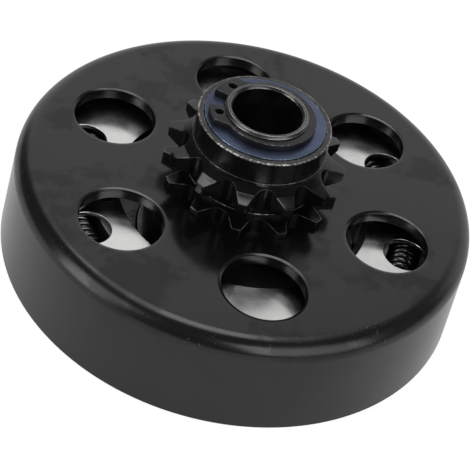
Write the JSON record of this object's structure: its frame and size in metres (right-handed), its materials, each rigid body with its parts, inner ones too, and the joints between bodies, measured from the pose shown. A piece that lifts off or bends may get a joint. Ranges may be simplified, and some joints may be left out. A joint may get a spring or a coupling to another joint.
{
  "type": "centrifugal clutch",
  "caption": "Centrifugal clutch: black steel bell drum with round face holes and a chain sprocket, over sprung sliding shoes on a keyed hub.",
  "frame": {"origin": "spin axis at the plane of the drum's open rim, on which the part rests", "axes": "+Z along the spin axis from the rim to the sprocket; the shoes part along X and slide along +Y and -Y"},
  "size_m": [0.108, 0.108, 0.0443],
  "materials": {
    "gloss_black_drum": "gloss black over pressed steel",
    "black_oxide_sprocket": "black oxide on steel, bare at the worn edges",
    "bronze_bushing": "oiled sintered bronze",
    "blued_washer": "blue-grey tempered steel",
    "steel_washer": "ground steel",
    "phosphated_ring": "dark phosphated spring steel",
    "turned_hub": "dark turned steel with a bright worn end",
    "black_driver": "black steel",
    "guide_plate_steel": "dull zinc-plated steel",
    "rivet_steel": "plain steel",
    "shoe_core_steel": "dull sintered steel",
    "bright_shoe_plate": "mirror-bright plated steel",
    "friction_lining": "woven friction material",
    "spring_wire": "bright spring wire"
  },
  "bodies": {
    "drum": {"drum": "gloss_black_drum", "sprocket": "black_oxide_sprocket", "bushing": "bronze_bushing"},
    "hub": {"hub": "turned_hub", "driver": "black_driver", "guide_plate": "guide_plate_steel", "driver_rivets": "rivet_steel", "inner_thrust_washer": "steel_washer", "outer_thrust_washer": "blued_washer", "snap_ring": "phosphated_ring", "left_spring": "spring_wire", "right_spring": "spring_wire"},
    "upper_shoe": {"upper_shoe_core": "shoe_core_steel", "upper_face_plate": "bright_shoe_plate", "upper_back_plate": "bright_shoe_plate", "upper_lining": "friction_lining", "upper_shoe_rivets": "rivet_steel", "upper_spring_pins": "rivet_steel"},
    "lower_shoe": {"lower_shoe_core": "shoe_core_steel", "lower_face_plate": "bright_shoe_plate", "lower_back_plate": "bright_shoe_plate", "lower_lining": "friction_lining", "lower_shoe_rivets": "rivet_steel", "lower_spring_pins": "rivet_steel"}
  },
  "joints": [
    {"name": "hub_spin", "type": "hinge", "parent": "drum", "child": "hub", "pos_m": [0, 0, 0.03], "axis": [0, 0, 1], "continuous": true},
    {"name": "upper_shoe_slide", "type": "slide", "parent": "hub", "child": "upper_shoe", "axis": [0, 1, 0], "range_m": [0, 0.0015], "stiffness_N_per_m": 20000, "springref_m": -0.003, "deforming": ["left_spring", "right_spring"]},
    {"name": "lower_shoe_slide", "type": "slide", "parent": "hub", "child": "lower_shoe", "axis": [0, -1, 0], "range_m": [0, 0.0015], "stiffness_N_per_m": 20000, "springref_m": -0.003, "deforming": ["left_spring", "right_spring"]}
  ],
  "couplings": [
    {"joint": "lower_shoe_slide", "follows": "upper_shoe_slide", "ratio": 1}
  ]
}
